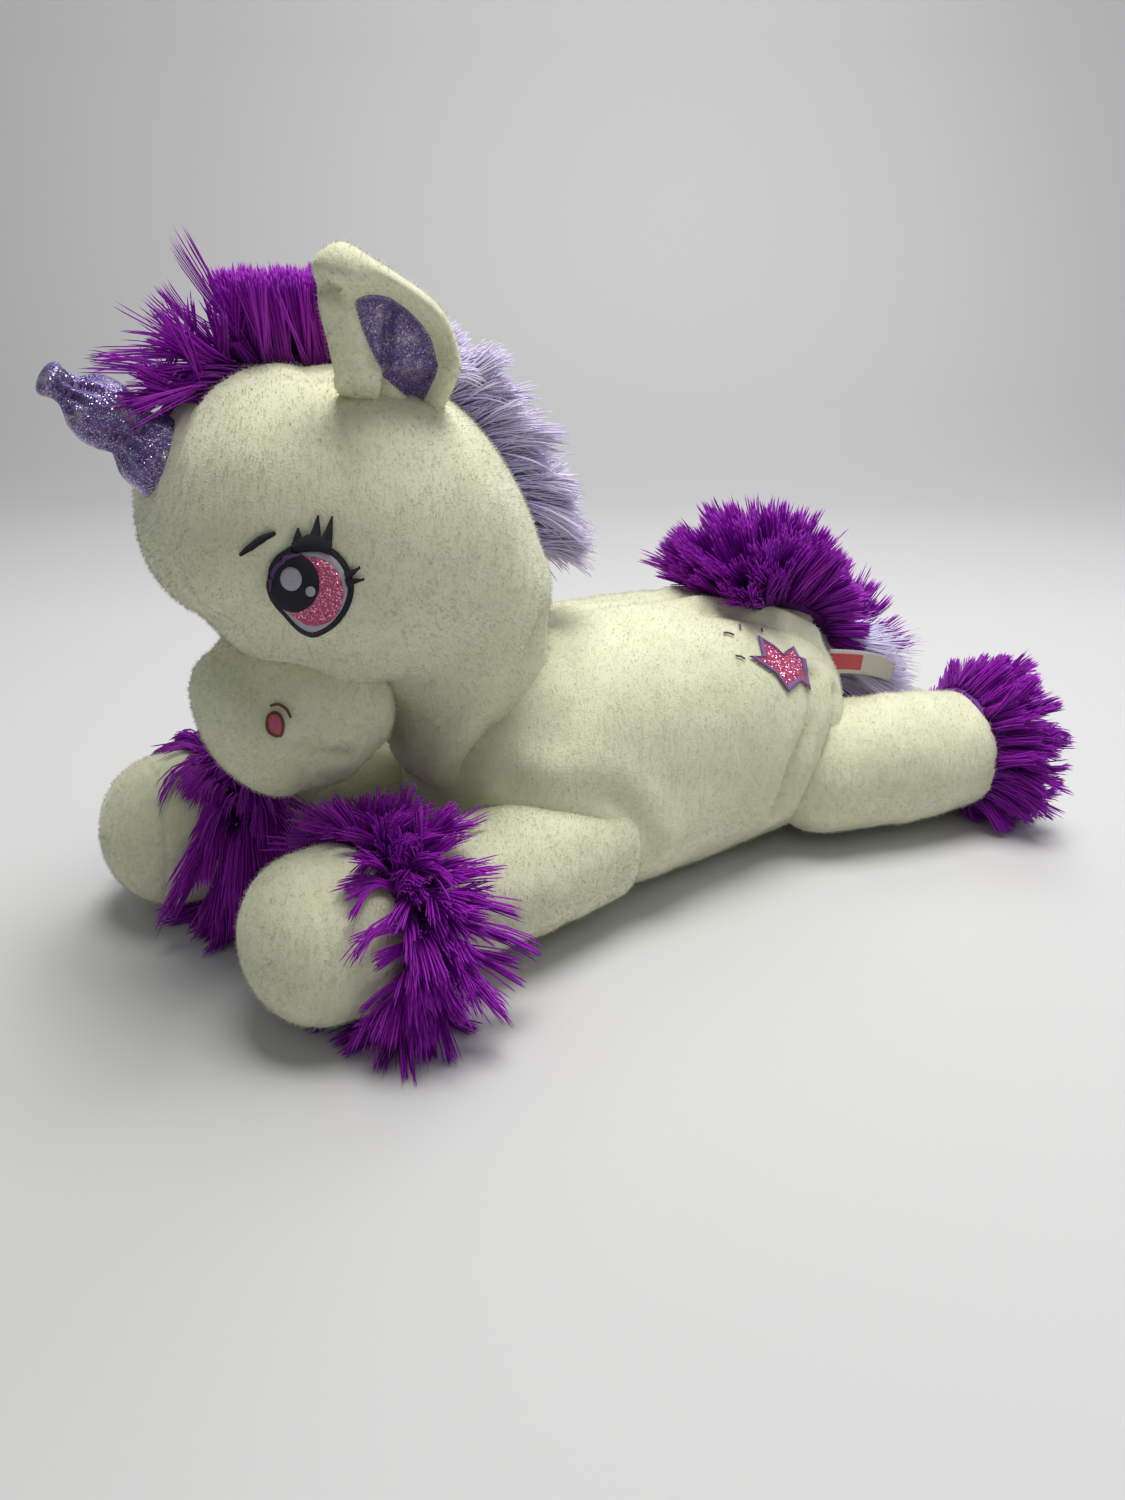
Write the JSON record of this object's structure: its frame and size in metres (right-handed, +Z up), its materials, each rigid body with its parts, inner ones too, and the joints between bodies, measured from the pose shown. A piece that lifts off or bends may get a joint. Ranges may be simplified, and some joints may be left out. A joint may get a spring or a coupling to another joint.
{
  "type": "plush unicorn",
  "caption": "Stuffed unicorn toy lying on its belly, with legs, head, ears, horn and tail that flex at their sewn roots.",
  "frame": {"origin": "on the flat underside of the torso, midway across, on the surface the toy lies on", "axes": "+Z up, the head looks along -Y, and the toy's own left side is +X"},
  "size_m": [0.2272, 0.4609, 0.2789],
  "materials": {
    "cream_plush": "short-pile cream plush",
    "stuffing": "polyester fibre filling",
    "purple_fur": "long shaggy purple fur",
    "lavender_fur": "long lavender fur",
    "lame": "holographic lavender lame cloth",
    "binding_thread": "lilac binding thread",
    "eye_thread": "black satin-stitch embroidery",
    "pink_thread": "pink satin-stitch embroidery",
    "pink_glitter": "pink glitter applique",
    "label_satin": "plain woven satin label"
  },
  "bodies": {
    "torso": {"torso_cover": "cream_plush", "torso_stuffing": "stuffing", "crown_applique": "pink_glitter", "sewn_label": "label_satin"},
    "neck": {"neck_stuffing": "stuffing"},
    "head": {"head_cover": "cream_plush", "head_stuffing": "stuffing", "muzzle_cover": "cream_plush", "muzzle_stuffing": "stuffing", "eye_left": "eye_thread", "eye_right": "eye_thread", "brow_left": "eye_thread", "brow_right": "eye_thread", "nostril_left": "pink_thread", "nostril_right": "pink_thread", "forelock": "purple_fur", "mane": "lavender_fur"},
    "ear_left": {"ear_left": "cream_plush", "ear_lining_left": "lame"},
    "ear_right": {"ear_right": "cream_plush", "ear_lining_right": "lame"},
    "horn": {"horn_cover": "lame", "horn_stuffing": "stuffing", "horn_binding_lower": "binding_thread", "horn_binding_upper": "binding_thread"},
    "tail": {"tail_dock": "cream_plush", "tail_fur": "purple_fur", "tail_underfur": "lavender_fur"},
    "front_left_leg": {"front_left_leg_cover": "cream_plush", "front_left_leg_stuffing": "stuffing", "front_left_hoof_cover": "cream_plush", "front_left_hoof_stuffing": "stuffing", "front_left_cuff": "purple_fur"},
    "front_right_leg": {"front_right_leg_cover": "cream_plush", "front_right_leg_stuffing": "stuffing", "front_right_hoof_cover": "cream_plush", "front_right_hoof_stuffing": "stuffing", "front_right_cuff": "purple_fur"},
    "rear_left_leg": {"rear_left_leg_cover": "cream_plush", "rear_left_leg_stuffing": "stuffing", "rear_left_hoof_cover": "cream_plush", "rear_left_hoof_stuffing": "stuffing", "rear_left_cuff": "purple_fur"},
    "rear_right_leg": {"rear_right_leg_cover": "cream_plush", "rear_right_leg_stuffing": "stuffing", "rear_right_hoof_cover": "cream_plush", "rear_right_hoof_stuffing": "stuffing", "rear_right_cuff": "purple_fur"}
  },
  "joints": [
    {"name": "neck_turn", "type": "hinge", "parent": "torso", "child": "neck", "pos_m": [0, -0.074, 0.086], "axis": [0, 0, 1], "range_deg": [-20, 20], "stiffness_Nm_per_rad": 1.2},
    {"name": "head_nod", "type": "hinge", "parent": "neck", "child": "head", "pos_m": [0, -0.074, 0.086], "axis": [1, 0, 0], "range_deg": [-15, 5], "stiffness_Nm_per_rad": 3},
    {"name": "ear_left_flop", "type": "hinge", "parent": "head", "child": "ear_left", "pos_m": [0.047, -0.12, 0.227], "axis": [0, 1, 0], "range_deg": [-15, 70], "stiffness_Nm_per_rad": 0.1},
    {"name": "ear_right_flop", "type": "hinge", "parent": "head", "child": "ear_right", "pos_m": [-0.047, -0.12, 0.227], "axis": [0, 1, 0], "range_deg": [-8, 100], "stiffness_Nm_per_rad": 0.1},
    {"name": "horn_bend", "type": "hinge", "parent": "head", "child": "horn", "pos_m": [0, -0.1865, 0.1965], "axis": [1, 0, 0], "range_deg": [-20, 20], "stiffness_Nm_per_rad": 0.1},
    {"name": "tail_lift", "type": "hinge", "parent": "torso", "child": "tail", "pos_m": [0, 0.092, 0.092], "axis": [1, 0, 0], "range_deg": [-20, 25], "stiffness_Nm_per_rad": 0.3},
    {"name": "front_left_splay", "type": "hinge", "parent": "torso", "child": "front_left_leg", "pos_m": [0.046, -0.045, 0.034], "axis": [0, 0, 1], "range_deg": [-4, 35], "stiffness_Nm_per_rad": 0.6},
    {"name": "front_right_splay", "type": "hinge", "parent": "torso", "child": "front_right_leg", "pos_m": [-0.046, -0.067, 0.034], "axis": [0, 0, 1], "range_deg": [-35, 4], "stiffness_Nm_per_rad": 0.6},
    {"name": "rear_left_splay", "type": "hinge", "parent": "torso", "child": "rear_left_leg", "pos_m": [0.043, 0.09, 0.036], "axis": [0, 0, 1], "range_deg": [-40, 4], "stiffness_Nm_per_rad": 0.6},
    {"name": "rear_right_splay", "type": "hinge", "parent": "torso", "child": "rear_right_leg", "pos_m": [-0.043, 0.094, 0.036], "axis": [0, 0, 1], "range_deg": [-4, 40], "stiffness_Nm_per_rad": 0.6}
  ]
}
